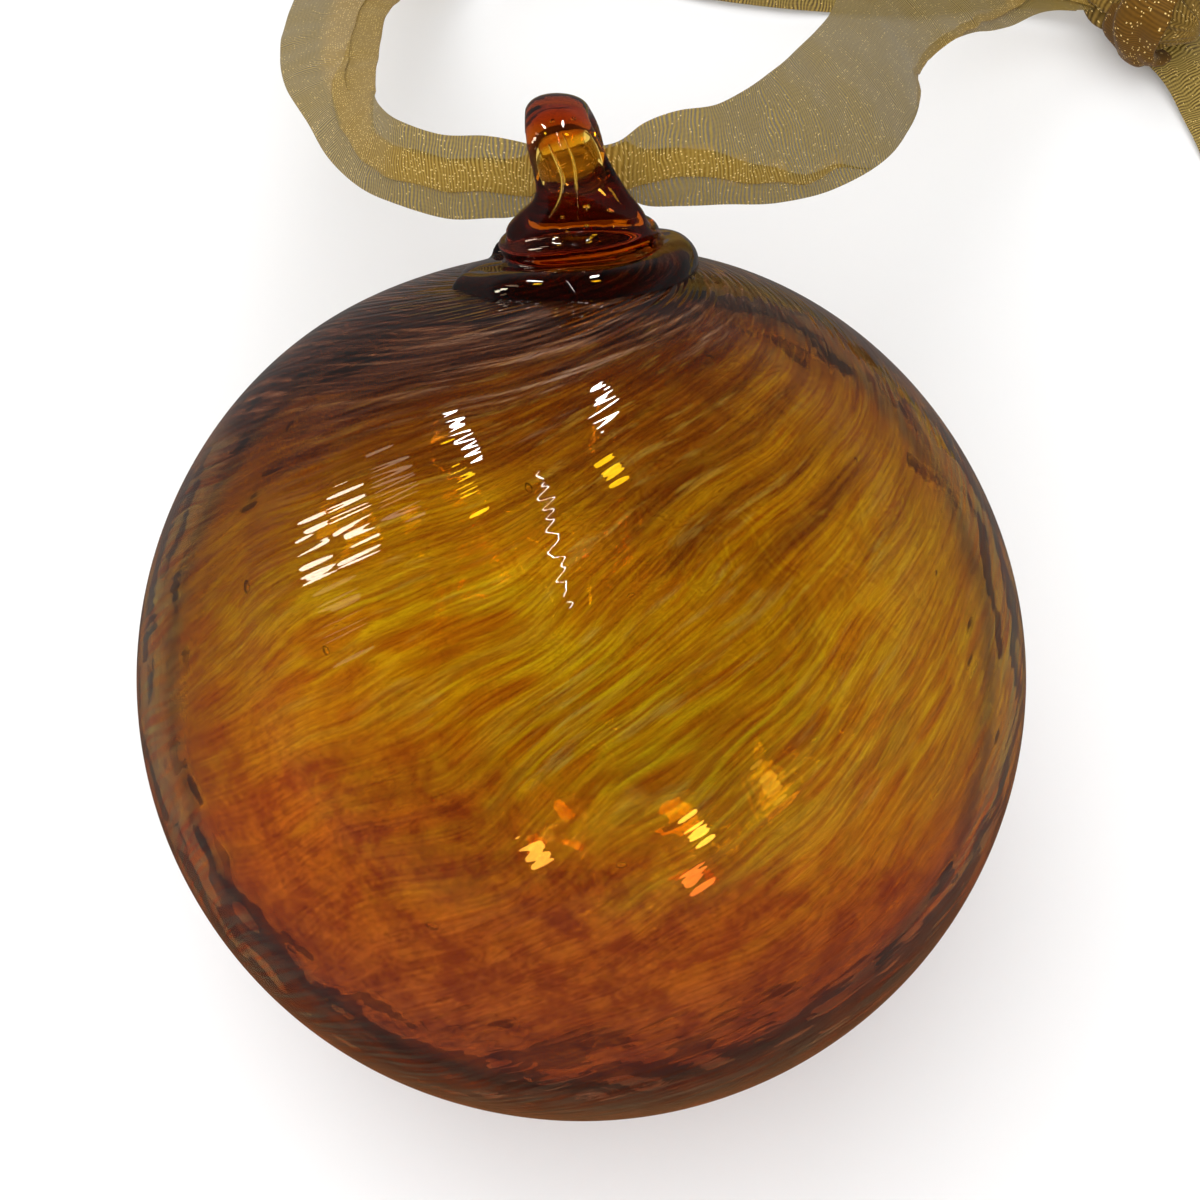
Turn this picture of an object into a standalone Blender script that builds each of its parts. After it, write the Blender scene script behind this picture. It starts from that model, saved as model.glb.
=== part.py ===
"""Hand-blown glass Christmas ball with a hot-applied hanger and a sheer organza ribbon.

The ball lies on a small flat spot with its hanger leaning up and away from it. The
ribbon runs through the hanger's loop, down to the table and into its knot.
Units are metres, +Z is up, +Y is the side the hanger leans to, and the origin is the
middle of the flat spot.
"""

from math import acos, cos, exp, pi, radians, sin, sqrt

import bmesh
import bpy
from mathutils import Matrix, Vector

MM = 0.001
GAP = 0.3 * MM  # left between pieces that touch

# The ball, a bubble that is a little flattened at its poles and sucked in at the neck.
BALL_RADIUS = 50.2 * MM
POLE_SQUASH = 0.3 * MM
NECK_DIP = 1.8 * MM
NECK_DIP_SPREAD = radians(23)
NECK_DIP_LEAN = radians(9)  # the dip sits a little to the left of the axis
BALL_SIDES = 64
BALL_RINGS = 32

# How the ball lies: the hanger's axis rises from the table towards +Y.
AXIS_RISE = radians(43)
FLAT_DEPTH = 0.6 * MM

# The hanger, in the ball's frame: +Z is the axis, +Y the back, from the ball's middle.
PAD_RADII = (13.2 * MM, 13.2 * MM, 2.2 * MM)
PAD_PLACE = (-0.2 * MM, -1.0 * MM, 46.2 * MM)
COIL_START = radians(-163)
COIL_END = radians(150)
COIL_RADIUS = 9.8 * MM
COIL_TAIL_OUT = 1.8 * MM  # how much farther out the coil's first end lies
COIL_LOW = 45.9 * MM
COIL_HIGH = 47.7 * MM
COIL_THICKNESS = 2.9 * MM
COIL_TAIL_THICKNESS = 1.7 * MM
COIL_END_SHARE = 0.7  # the coil's last end against its thickest part
COIL_POINTS = 30
BELL_RADIUS = 9.0 * MM
BELL_PLACE = (-0.3 * MM, 0.0, 50.3 * MM)  # the middle of its rim
BELL_LEAN = radians(-6)
BELL_CROWN = 3.8 * MM
BELL_FOOT = 3.2 * MM
BELL_RIM_ROUND = 1.2 * MM
BELL_POINTS = 9
ROUND_STEPS = 40

# The strap of the loop: y, z and x of its middle line, its width and its thickness.
STRAP = (
    (-2.6, 51.0, -0.2, 16.6, 8.0),
    (-4.8, 53.4, 0.0, 14.0, 6.6),
    (-6.3, 55.9, -0.2, 10.4, 5.4),
    (-6.9, 58.4, -0.8, 8.6, 4.8),
    (-6.2, 60.9, -1.7, 8.0, 4.6),
    (-3.9, 62.8, -2.4, 7.4, 4.6),
    (-0.3, 63.6, -2.5, 7.0, 4.6),
    (3.4, 62.8, -2.2, 6.8, 4.4),
    (6.4, 60.9, -1.3, 6.8, 4.0),
    (7.4, 58.0, -0.5, 6.9, 3.8),
    (6.6, 55.2, 0.0, 7.8, 4.4),
    (4.6, 52.4, 0.0, 9.5, 6.0),
    (2.6, 50.4, 0.0, 11.0, 7.0),
)
STRAP_SIDES = 16
STEPS_PER_STATION = 3

# The ribbon: both edges of the folded band, from the knot round to the knot again.
RIBBON_STACK = 0.8 * MM  # its folded layers together
RIBBON_STEPS = 5
LOOP_EDGES = (
    # out of the knot and along the table
    ((73.5, 132.0, 2.5), (76.0, 136.0, 7.0)),
    ((62.0, 133.5, 1.2), (64.0, 140.5, 9.5)),
    ((51.0, 132.5, 0.8), (52.5, 142.5, 11.5)),
    ((37.0, 133.0, 0.8), (38.0, 144.0, 12.0)),
    ((19.0, 135.5, 0.8), (20.0, 147.0, 12.0)),
    # round the far end
    ((0.0, 140.0, 0.8), (-3.5, 151.5, 12.0)),
    ((-16.0, 139.0, 3.2), (-23.5, 146.0, 14.5)),
    ((-22.8, 129.3, 11.6), (-34.0, 134.0, 20.4)),
    # up and round to the hanger
    ((-25.7, 117.0, 24.4), (-38.9, 121.8, 24.6)),
    ((-27.0, 107.0, 33.5), (-40.2, 106.5, 34.5)),
    ((-26.7, 94.8, 43.8), (-39.7, 92.8, 44.0)),
    ((-26.1, 84.7, 53.0), (-37.8, 81.7, 51.5)),
    ((-25.4, 74.2, 62.7), (-34.2, 72.0, 57.3)),
    ((-24.5, 66.5, 69.9), (-30.5, 62.1, 63.1)),
    ((-22.9, 60.4, 75.4), (-26.1, 54.1, 68.6)),
    ((-20.6, 55.4, 79.9), (-21.7, 48.7, 73.2)),
    ((-15.5, 51.0, 83.3), (-15.6, 44.4, 76.4)),
    ((-10.5, 48.6, 86.4), (-10.7, 42.6, 79.0)),
    ((-6.8, 47.0, 87.6), (-6.9, 41.8, 80.9)),
    # through the loop
    ((-3.8, 45.6, 88.3), (-3.9, 42.5, 84.9)),
    ((0.0, 45.5, 88.5), (0.0, 42.4, 85.2)),
    ((3.8, 46.2, 88.5), (3.9, 42.5, 84.9)),
    # out to the right and down into the knot
    ((6.8, 48.6, 88.7), (7.0, 42.4, 81.9)),
    ((10.5, 50.7, 88.1), (11.2, 43.3, 80.4)),
    ((15.0, 53.4, 85.6), (16.4, 45.2, 78.0)),
    ((19.0, 58.4, 82.2), (22.5, 48.0, 74.3)),
    ((23.0, 65.0, 77.6), (29.5, 53.6, 69.0)),
    ((26.5, 73.0, 71.5), (36.6, 61.7, 64.0)),
    ((30.0, 83.0, 63.2), (41.4, 74.2, 56.0)),
    ((33.4, 95.0, 54.0), (43.9, 88.8, 45.6)),
    ((39.4, 108.4, 42.0), (50.6, 101.0, 36.4)),
    ((48.6, 119.8, 31.0), (59.0, 111.5, 25.0)),
    ((59.0, 128.6, 20.5), (66.6, 121.4, 16.0)),
    ((71.5, 132.0, 11.6), (75.0, 127.4, 8.6)),
)
FRONT_TAIL_EDGES = (
    ((79.0, 125.0, 5.0), (84.0, 128.0, 5.0)),
    ((85.2, 119.5, 2.2), (94.0, 124.0, 4.6)),
    ((88.6, 112.0, 0.8), (102.5, 116.5, 3.4)),
    ((92.0, 101.5, 0.8), (107.4, 104.0, 2.2)),
    ((97.5, 90.0, 0.8), (111.0, 96.5, 1.0)),
)
SIDE_TAIL_EDGES = (
    ((83.0, 126.5, 9.5), (82.0, 131.5, 9.0)),
    ((92.0, 126.5, 9.0), (92.0, 139.5, 9.5)),
    ((103.0, 125.5, 5.2), (103.5, 141.0, 6.8)),
    ((116.0, 127.5, 1.0), (112.0, 142.5, 2.6)),
)
KNOT_RADII = (11.5 * MM, 7.2 * MM, 7.4 * MM)
KNOT_PLACE = (81.4 * MM, 129.8 * MM, 9.7 * MM)
KNOT_TURN = radians(-42)
KNOT_BAND_RADIUS = 7.0 * MM
KNOT_BAND_THICKNESS = 2.2 * MM
KNOT_BAND_ALONG = 4.0 * MM  # how far from the knot's middle its wrapped turn lies


def make_material(name, colour, roughness, metallic=0.0):
    """Return a Principled material."""
    material = bpy.data.materials.new(name)
    material.use_nodes = True
    shader = material.node_tree.nodes["Principled BSDF"]
    shader.inputs["Base Color"].default_value = (*colour, 1.0)
    shader.inputs["Roughness"].default_value = roughness
    shader.inputs["Metallic"].default_value = metallic
    return material


def new_object(name, mesh, collection, parent=None):
    """Put a mesh into a collection as a named object, shaded smooth."""
    mesh.shade_smooth()
    mesh.set_sharp_from_angle(angle=radians(50))
    placed = bpy.data.objects.new(name, mesh)
    placed.parent = parent
    collection.objects.link(placed)
    return placed


def as_cutter(placed):
    """Mark an object as a tool for Boolean modifiers, which isn't part of the model."""
    placed.hide_render = True
    placed.display_type = "WIRE"
    return placed


def add_boolean(placed, operation, tool, solver="EXACT"):
    """Join or cut an object with a tool object."""
    modifier = placed.modifiers.new(f"{operation.lower()} {tool.name}", "BOOLEAN")
    modifier.operation = operation
    modifier.solver = solver
    modifier.object = tool


def smooth_stations(stations, steps):
    """Return rows of numbers read from a smooth curve through the given rows."""
    last = len(stations) - 1
    rows = []
    for index in range(last):
        before, start = stations[max(index - 1, 0)], stations[index]
        end, after = stations[index + 1], stations[min(index + 2, last)]
        for step in range(steps):
            t = step / steps
            rows.append(
                tuple(
                    0.5 * (2 * b + (c - a) * t + (2 * a - 5 * b + 4 * c - d) * t**2
                           + (3 * b - a - 3 * c + d) * t**3)
                    for a, b, c, d in zip(before, start, end, after)
                )
            )
    rows.append(tuple(stations[last]))
    return rows


def loft(name, sections):
    """Return a closed mesh skinned over rings of points with the same count."""
    shape = bmesh.new()
    rings = [[shape.verts.new(point) for point in section] for section in sections]
    count = len(rings[0])
    for ring, following in zip(rings, rings[1:]):
        for k in range(count):
            after = (k + 1) % count
            shape.faces.new((ring[k], ring[after], following[after], following[k]))
    shape.faces.new(rings[0])
    shape.faces.new(reversed(rings[-1]))
    bmesh.ops.recalc_face_normals(shape, faces=shape.faces)
    mesh = bpy.data.meshes.new(name)
    shape.to_mesh(mesh)
    shape.free()
    return mesh


def ellipsoid(name, radii, sides, rings):
    """Return an ellipsoid mesh about its own middle."""
    shape = bmesh.new()
    bmesh.ops.create_uvsphere(shape, u_segments=sides, v_segments=rings, radius=1.0)
    bmesh.ops.scale(shape, vec=radii, verts=shape.verts)
    mesh = bpy.data.meshes.new(name)
    shape.to_mesh(mesh)
    shape.free()
    return mesh


# --- the ball ---------------------------------------------------------------------


def ball_radius(direction):
    """Return the ball's radius along a unit direction in its own frame."""
    dip_axis = Vector((-sin(NECK_DIP_LEAN), 0.0, cos(NECK_DIP_LEAN)))
    from_dip = acos(max(-1.0, min(1.0, direction.dot(dip_axis))))
    dip = NECK_DIP * exp(-((from_dip / NECK_DIP_SPREAD) ** 2))
    return BALL_RADIUS - POLE_SQUASH * direction.z**2 - dip


def ball_mesh(name, grown=0.0):
    """Return the ball's outer form, grown outwards by a distance."""
    shape = bmesh.new()
    bmesh.ops.create_uvsphere(
        shape, u_segments=BALL_SIDES, v_segments=BALL_RINGS, radius=BALL_RADIUS
    )
    for vertex in shape.verts:
        direction = vertex.co.normalized()
        vertex.co = direction * (ball_radius(direction) + grown)
    mesh = bpy.data.meshes.new(name)
    shape.to_mesh(mesh)
    shape.free()
    return mesh


def centre_height():
    """Return the height of the ball's middle above its flat spot."""
    straight_down = Vector((0.0, -cos(AXIS_RISE), -sin(AXIS_RISE)))
    return ball_radius(straight_down) - FLAT_DEPTH


def build_ball(parts, cutters, ball_frame):
    """Make the ball, cut flat where it rests."""
    ball = new_object("blown_ball", ball_mesh("blown_ball"), parts, ball_frame)
    ball.data.materials.append(make_material("swirled_glass", (0.52, 0.2, 0.015), 0.05))
    below = bmesh.new()
    bmesh.ops.create_cube(below, size=BALL_RADIUS)
    bmesh.ops.translate(below, vec=(0.0, 0.0, -BALL_RADIUS / 2), verts=below.verts)
    mesh = bpy.data.meshes.new("table_cutter")
    below.to_mesh(mesh)
    below.free()
    add_boolean(ball, "DIFFERENCE", as_cutter(new_object("table_cutter", mesh, cutters)))
    return ball


# --- the hanger -------------------------------------------------------------------


def strap_sections():
    """Return the strap's oval sections along its looped middle line."""
    rows = smooth_stations(STRAP, STEPS_PER_STATION)
    middles = [Vector((x, y, z)) * MM for y, z, x, _, _ in rows]
    sections = []
    for index, (_, _, _, width, thickness) in enumerate(rows):
        ahead = middles[min(index + 1, len(rows) - 1)] - middles[max(index - 1, 0)]
        outward = ahead.cross(Vector((1.0, 0.0, 0.0))).normalized()
        across = outward.cross(ahead).normalized()
        ring = []
        for k in range(STRAP_SIDES):
            angle = 2 * pi * k / STRAP_SIDES
            side = across * (cos(angle) * width / 2 * MM)
            ring.append(middles[index] + side + outward * (sin(angle) * thickness / 2 * MM))
        sections.append(ring)
    return sections


def bell_mesh():
    """Return the profile of the loop's foot, which spreads over the coil."""
    profile = []
    for step in range(BELL_POINTS + 1):
        angle = pi / 2 * step / BELL_POINTS
        profile.append((BELL_RADIUS * sin(angle), BELL_CROWN * cos(angle)))
    for angle in (pi / 4, pi / 2):
        inset = BELL_RIM_ROUND * (1 - cos(angle))
        profile.append((BELL_RADIUS - inset, -BELL_RIM_ROUND * sin(angle)))
    profile.append((0.0, -BELL_FOOT))
    mesh = bpy.data.meshes.new("bell_tool")
    edges = [(k, k + 1) for k in range(len(profile) - 1)]
    mesh.from_pydata([(radius, 0.0, height) for radius, height in profile], edges, [])
    return mesh


def coil_mesh():
    """Return the first turn of the hanger's glass, a tube wound round the neck."""
    curve = bpy.data.curves.new("coil_tool", "CURVE")
    curve.dimensions = "3D"
    curve.bevel_depth = COIL_THICKNESS
    curve.bevel_resolution = 3
    curve.use_fill_caps = True
    line = curve.splines.new("POLY")
    line.points.add(COIL_POINTS - 1)
    for index, point in enumerate(line.points):
        along = index / (COIL_POINTS - 1)
        angle = COIL_START + (COIL_END - COIL_START) * along
        tail = exp(-((along / 0.12) ** 2))
        radius = COIL_RADIUS + COIL_TAIL_OUT * tail
        height = COIL_LOW + (COIL_HIGH - COIL_LOW) * sqrt(along)
        point.co = (radius * cos(angle), radius * sin(angle), height, 1.0)
        thinned = 1 - (1 - COIL_END_SHARE) * along**2
        point.radius = thinned - (1 - COIL_TAIL_THICKNESS / COIL_THICKNESS) * tail
    drawn = bpy.data.objects.new("coil_curve", curve)
    bpy.context.scene.collection.objects.link(drawn)
    evaluated = drawn.evaluated_get(bpy.context.evaluated_depsgraph_get())
    mesh = bpy.data.meshes.new_from_object(evaluated)
    bpy.data.objects.remove(drawn)
    shape = bmesh.new()
    shape.from_mesh(mesh)
    bmesh.ops.remove_doubles(shape, verts=shape.verts, dist=0.01 * MM)
    bmesh.ops.recalc_face_normals(shape, faces=shape.faces)
    shape.to_mesh(mesh)
    shape.free()
    return mesh


def build_hanger(parts, cutters, ball_frame):
    """Make the hanger: looped strap, bell, coil and pad, seated on the ball."""
    strap = loft("applied_hanger", strap_sections())
    hanger = new_object("applied_hanger", strap, parts, ball_frame)
    hanger.data.materials.append(make_material("clear_amber_glass", (0.34, 0.07, 0.008), 0.03))
    bell = new_object("bell_tool", bell_mesh(), cutters, ball_frame)
    bell.location = BELL_PLACE
    bell.rotation_euler = (0.0, BELL_LEAN, 0.0)
    turned = bell.modifiers.new("turned", "SCREW")
    turned.angle = 2 * pi
    turned.steps = ROUND_STEPS
    turned.render_steps = ROUND_STEPS
    turned.use_merge_vertices = True
    turned.merge_threshold = 0.01 * MM
    coil = new_object("coil_tool", coil_mesh(), cutters, ball_frame)
    pad_mesh = ellipsoid("pad_tool", PAD_RADII, ROUND_STEPS, 12)
    pad = new_object("pad_tool", pad_mesh, cutters, ball_frame)
    pad.location = PAD_PLACE
    seat = new_object("seat_cutter", ball_mesh("seat_cutter", GAP), cutters, ball_frame)
    # The EXACT solver drops faces where these small round forms meet.
    for tool in (bell, coil, pad):
        add_boolean(hanger, "UNION", as_cutter(tool), "MANIFOLD")
    add_boolean(hanger, "DIFFERENCE", as_cutter(seat), "MANIFOLD")
    return hanger


# --- the ribbon -------------------------------------------------------------------


def band_mesh(name, edges):
    """Return a thin closed band between two smooth edge lines."""
    rows = smooth_stations([(*first, *second) for first, second in edges], RIBBON_STEPS)
    firsts = [Vector(row[:3]) * MM for row in rows]
    seconds = [Vector(row[3:]) * MM for row in rows]
    middles = [(first + second) / 2 for first, second in zip(firsts, seconds)]
    sections = []
    for index, (first, second) in enumerate(zip(firsts, seconds)):
        ahead = middles[min(index + 1, len(rows) - 1)] - middles[max(index - 1, 0)]
        half = ahead.cross(second - first).normalized() * (RIBBON_STACK / 2)
        sections.append([first + half, second + half, second - half, first - half])
    return loft(name, sections)


def knot_band_mesh():
    """Return the turn of ribbon that wraps the knot, a ring about the X axis."""
    bpy.ops.mesh.primitive_torus_add(
        major_radius=KNOT_BAND_RADIUS,
        minor_radius=KNOT_BAND_THICKNESS,
        major_segments=24,
        minor_segments=8,
        rotation=(0.0, pi / 2, 0.0),
    )
    ring = bpy.context.active_object
    mesh = ring.data
    mesh.name = "knot_band_tool"
    mesh.transform(Matrix.Diagonal((2.0, 1.0, 1.0, 1.0)) @ ring.matrix_world)
    bpy.data.objects.remove(ring)
    return mesh


def build_ribbon(parts, cutters):
    """Make the ribbon: its loop, its knot and its two tails, as one solid."""
    ribbon = new_object("organza_ribbon", band_mesh("organza_ribbon", LOOP_EDGES), parts)
    ribbon.data.materials.append(make_material("gold_organza", (0.36, 0.24, 0.07), 0.6, 0.2))
    knot = new_object("knot_tool", ellipsoid("knot_tool", KNOT_RADII, 24, 12), cutters)
    wrap = new_object("knot_band_tool", knot_band_mesh(), cutters)
    turn = Matrix.Rotation(KNOT_TURN, 3, "Z")
    knot.location = KNOT_PLACE
    wrap.location = Vector(KNOT_PLACE) + turn @ Vector((KNOT_BAND_ALONG, 0.0, 0.0))
    for wound in (knot, wrap):
        wound.rotation_euler = (0.0, 0.0, KNOT_TURN)
    front = new_object("front_tail_tool", band_mesh("front_tail_tool", FRONT_TAIL_EDGES), cutters)
    side = new_object("side_tail_tool", band_mesh("side_tail_tool", SIDE_TAIL_EDGES), cutters)
    for tool in (knot, wrap, front, side):
        add_boolean(ribbon, "UNION", as_cutter(tool))
    return ribbon


def main():
    """Build the ornament in an empty scene."""
    for existing in list(bpy.data.objects):
        bpy.data.objects.remove(existing)
    parts = bpy.data.collections.new("glass_ornament")
    cutters = bpy.data.collections.new("cutters")
    bpy.context.scene.collection.children.link(parts)
    bpy.context.scene.collection.children.link(cutters)
    ball_frame = bpy.data.objects.new("ball_frame", None)
    ball_frame.location = (0.0, 0.0, centre_height())
    ball_frame.rotation_euler = (AXIS_RISE - pi / 2, 0.0, 0.0)
    parts.objects.link(ball_frame)
    build_ball(parts, cutters, ball_frame)
    build_hanger(parts, cutters, ball_frame)
    build_ribbon(parts, cutters)


main()
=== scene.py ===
"""Looks of a hand-blown glass Christmas ball with a hot-applied hanger and an organza ribbon."""

from math import acos, cos, exp, pi, radians, sin, sqrt

import bmesh
import bpy
import numpy as np
from mathutils import Matrix, Vector, noise


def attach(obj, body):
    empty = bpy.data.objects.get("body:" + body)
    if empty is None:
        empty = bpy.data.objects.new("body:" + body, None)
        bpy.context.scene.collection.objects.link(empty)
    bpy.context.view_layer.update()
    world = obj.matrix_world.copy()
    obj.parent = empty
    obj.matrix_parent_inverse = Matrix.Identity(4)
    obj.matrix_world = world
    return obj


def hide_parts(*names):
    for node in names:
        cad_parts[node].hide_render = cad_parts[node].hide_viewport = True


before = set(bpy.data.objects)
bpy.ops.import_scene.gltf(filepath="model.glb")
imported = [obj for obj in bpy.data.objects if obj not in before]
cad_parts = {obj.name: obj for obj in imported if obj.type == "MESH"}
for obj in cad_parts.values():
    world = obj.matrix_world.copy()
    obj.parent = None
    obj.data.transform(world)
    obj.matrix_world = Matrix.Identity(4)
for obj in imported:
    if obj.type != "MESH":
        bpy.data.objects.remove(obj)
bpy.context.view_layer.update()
MM = 0.001
noise.seed_set(7)  # or the noise vectors would differ in each run

# --- The ball -----------------------------------------------------------------------
# A bubble of soda-lime glass, blown from a gather rolled in amber, orange and brown
# colour chips and twisted while hot, so that the chips are drawn into slanting streaks.
# Its wall is about 4 mm thick and thicker at the base, with seeds sealed in it.

AXIS_RISE = radians(43)  # how steeply the hanger's axis rises from the table
BALL_RADIUS = 50.2 * MM
POLE_SQUASH = 0.3 * MM
NECK_DIP = 1.8 * MM
NECK_DIP_SPREAD = radians(23)
NECK_DIP_LEAN = radians(9)
FLAT_DEPTH = 0.6 * MM
WALL_SIDE = 3.6 * MM
WALL_BASE = 3.8 * MM  # how much thicker the wall is at the base
WALL_NECK = 1.0 * MM
SWAY = 0.12 * MM  # how far the faces wander from an even round
BALL_CUTS = 86


def ball_radius(direction):
    """Return the outer radius along a unit direction in the ball's own frame."""
    dip_axis = Vector((-sin(NECK_DIP_LEAN), 0.0, cos(NECK_DIP_LEAN)))
    from_dip = acos(max(-1.0, min(1.0, direction.dot(dip_axis))))
    dip = NECK_DIP * exp(-((from_dip / NECK_DIP_SPREAD) ** 2))
    return BALL_RADIUS - POLE_SQUASH * direction.z**2 - dip


STRAIGHT_DOWN = Vector((0.0, -cos(AXIS_RISE), -sin(AXIS_RISE)))
CENTRE_HEIGHT = ball_radius(STRAIGHT_DOWN) - FLAT_DEPTH
BALL_FRAME = Matrix.Translation((0.0, 0.0, CENTRE_HEIGHT)) @ Matrix.Rotation(
    AXIS_RISE - pi / 2, 4, "X"
)


def wall_thickness(direction):
    """Return the wall's thickness along a unit direction: uneven, and lumpy at the base."""
    base = max(0.0, -direction.z) ** 3
    neck = max(0.0, direction.z) ** 6
    uneven = 0.35 * noise.noise(direction * 1.7) + 0.2 * noise.noise(direction * 5.0)
    uneven += 0.16 * noise.noise(direction * 12.0)
    lumpy = base * (1.3 * noise.noise(direction * 4.0) + 0.5 * noise.noise(direction * 11.0))
    return WALL_SIDE + WALL_BASE * base + WALL_NECK * neck + (uneven + lumpy) * MM


def select_only(chosen):
    """Make one object the only selected and the active one."""
    bpy.ops.object.select_all(action="DESELECT")
    chosen.select_set(True)
    bpy.context.view_layer.objects.active = chosen


def blown_wall(name, inner):
    """Return the outer or the inner face of the ball's wall."""
    bpy.ops.object.select_all(action="DESELECT")
    bpy.ops.mesh.primitive_cube_add(size=1.0)
    wall = bpy.context.active_object
    wall.name = name
    bpy.ops.object.mode_set(mode="EDIT")
    bpy.ops.mesh.subdivide(number_cuts=BALL_CUTS)
    if inner:
        bpy.ops.mesh.flip_normals()
    bpy.ops.object.mode_set(mode="OBJECT")
    for vertex in wall.data.vertices:
        # the tangent spreads the cube's grid evenly over the sphere
        spread = Vector([np.tan(c * pi / 2) for c in vertex.co])
        direction = spread.normalized()
        sway = SWAY * noise.noise(direction * 2.6 + Vector((7.0, 0.0, 0.0)))
        radius = ball_radius(direction) + (sway if inner else 0.3 * sway)
        if inner:
            radius -= wall_thickness(direction)
        vertex.co = BALL_FRAME @ (direction * radius)
        if not inner:
            vertex.co.z = max(vertex.co.z, 0.0)
    wall.data.shade_smooth()
    return wall


ball = blown_wall("glass_bubble", inner=False)
hollow = blown_wall("glass_bubble_hollow", inner=True)
select_only(ball)
hollow.select_set(True)
bpy.ops.object.join()

# Seeds: tiny bubbles of air sealed in the wall, farther apart than they are wide, and
# flattened and drawn out with it.
SEEDS = 46
SEED_SEGMENTS = 12
SEED_RINGS = 8
SEED_SHAPE = Matrix.Diagonal((1.7, 1.0, 0.7, 1.0))


def add_seed(direction, width, depth):
    """Return a bubble in the wall along a direction, at a depth below the surface."""
    bpy.ops.object.select_all(action="DESELECT")
    bpy.ops.mesh.primitive_uv_sphere_add(
        segments=SEED_SEGMENTS, ring_count=SEED_RINGS, radius=width / 2
    )
    seed = bpy.context.active_object
    bpy.ops.object.mode_set(mode="EDIT")
    bpy.ops.mesh.flip_normals()
    bpy.ops.object.mode_set(mode="OBJECT")
    middle = BALL_FRAME @ (direction * (ball_radius(direction) - depth))
    lean = (BALL_FRAME.to_3x3() @ direction).to_track_quat("Z", "Y").to_matrix().to_4x4()
    seed.data.transform(Matrix.Translation(middle) @ lean @ SEED_SHAPE)
    seed.data.shade_smooth()
    return seed


seeds = []
for index in range(SEEDS):
    # a spiral spreads them, and the sines shake it
    seed_z = 0.9 - 1.8 * (index + 0.5) / SEEDS + 0.05 * sin(index * 7.3)
    turn = index * 2.4 + 0.5 * sin(index * 3.7)
    across = sqrt(max(0.0, 1 - seed_z * seed_z))
    direction = Vector((across * cos(turn), across * sin(turn), seed_z)).normalized()
    width = (0.4 + 0.5 * sin(index * 5.1) ** 4) * MM
    seeds.append(add_seed(direction, width, (0.9 + 0.9 * sin(index * 1.9) ** 2) * MM))
select_only(ball)
for seed in seeds:
    seed.select_set(True)
bpy.ops.object.join()


def srgb(code):
    """Return a hex colour as linear red, green, blue and alpha."""
    values = [int(code[k:k + 2], 16) / 255 for k in (1, 3, 5)]
    return (*(v / 12.92 if v <= 0.04045 else ((v + 0.055) / 1.055) ** 2.4 for v in values), 1.0)


def add_node(tree, kind, links=None, **settings):
    """Add a node with its settings; links maps an input to a value or to an output."""
    made = tree.nodes.new(kind)
    for setting, value in settings.items():
        setattr(made, setting, value)
    for key, value in (links or {}).items():
        if isinstance(value, bpy.types.Node):
            value = value.outputs[0]
        if isinstance(value, bpy.types.NodeSocket):
            tree.links.new(value, made.inputs[key])
        else:
            made.inputs[key].default_value = value
    return made


def set_ramp(ramp, stops):
    """Give a colour ramp its stops: hex colours, or linear red, green and blue."""
    elements = ramp.color_ramp.elements
    while len(elements) > 1:
        elements.remove(elements[-1])
    for index, (position, colour) in enumerate(stops.items()):
        stop = elements.new(position) if index else elements[0]
        stop.position = position
        stop.color = srgb(colour) if isinstance(colour, str) else (*colour, 1.0)


def dress(piece, name, values):
    """Give a piece a material with uniform values; return its node tree and its shader."""
    finish = bpy.data.materials.new(name)
    finish.use_nodes = True
    piece.data.materials.append(finish)
    shader = finish.node_tree.nodes["Principled BSDF"]
    for key, value in values.items():
        shader.inputs[key].default_value = value
    return finish.node_tree, shader


# Soda-lime glass under a skin of melted colour chips. The glass gives sharp highlights
# and lets the light through; the chips are partly opaque, so they keep a body colour.
GLASS_IOR = 1.5
CHIP_CLEARNESS = 0.75
tree, glass = dress(
    ball,
    "blown_glass_swirled_colour",
    {"Roughness": 0.0, "IOR": GLASS_IOR, "Transmission Weight": CHIP_CLEARNESS},
)

# The unit direction from the ball's middle, with Z along the hanger's axis.
IN_BALL_FRAME = {1: (0.0, 0.0, CENTRE_HEIGHT), 2: (AXIS_RISE - pi / 2, 0.0, 0.0)}
place = add_node(tree, "ShaderNodeTexCoord").outputs["Object"]
turned = add_node(tree, "ShaderNodeMapping", {0: place, **IN_BALL_FRAME}, vector_type="TEXTURE")
aim = add_node(tree, "ShaderNodeVectorMath", {0: turned}, operation="NORMALIZE")
height = add_node(tree, "ShaderNodeSeparateXYZ", {0: aim}).outputs[2]
# atanh of the height: how far the hot glass was twisted there
tamed = add_node(tree, "ShaderNodeMath", {0: height, 1: 0.985}, operation="MULTIPLY")
upper = add_node(tree, "ShaderNodeMath", {0: 1.0, 1: tamed}, operation="ADD")
lower = add_node(tree, "ShaderNodeMath", {0: 1.0, 1: tamed}, operation="SUBTRACT")
share = add_node(tree, "ShaderNodeMath", {0: upper, 1: lower}, operation="DIVIDE")
rise = add_node(tree, "ShaderNodeMath", {0: share, 1: exp(1)}, operation="LOGARITHM")
lift = add_node(tree, "ShaderNodeCombineXYZ", {2: rise})
level = add_node(
    tree, "ShaderNodeVectorMath", {0: aim, 1: (1.0, 1.0, 0.0)}, operation="MULTIPLY"
)
level = add_node(tree, "ShaderNodeVectorMath", {0: level}, operation="NORMALIZE")
broad = add_node(
    tree, "ShaderNodeTexNoise", {"Vector": aim, "Scale": 1.6, "Detail": 1.5, "Roughness": 0.5}
)
wander = add_node(tree, "ShaderNodeMath", {0: broad, 1: 0.8, 2: -0.4}, operation="MULTIPLY_ADD")
drift = add_node(tree, "ShaderNodeMath", {0: wander, 1: 0.65}, operation="MULTIPLY")


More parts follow.
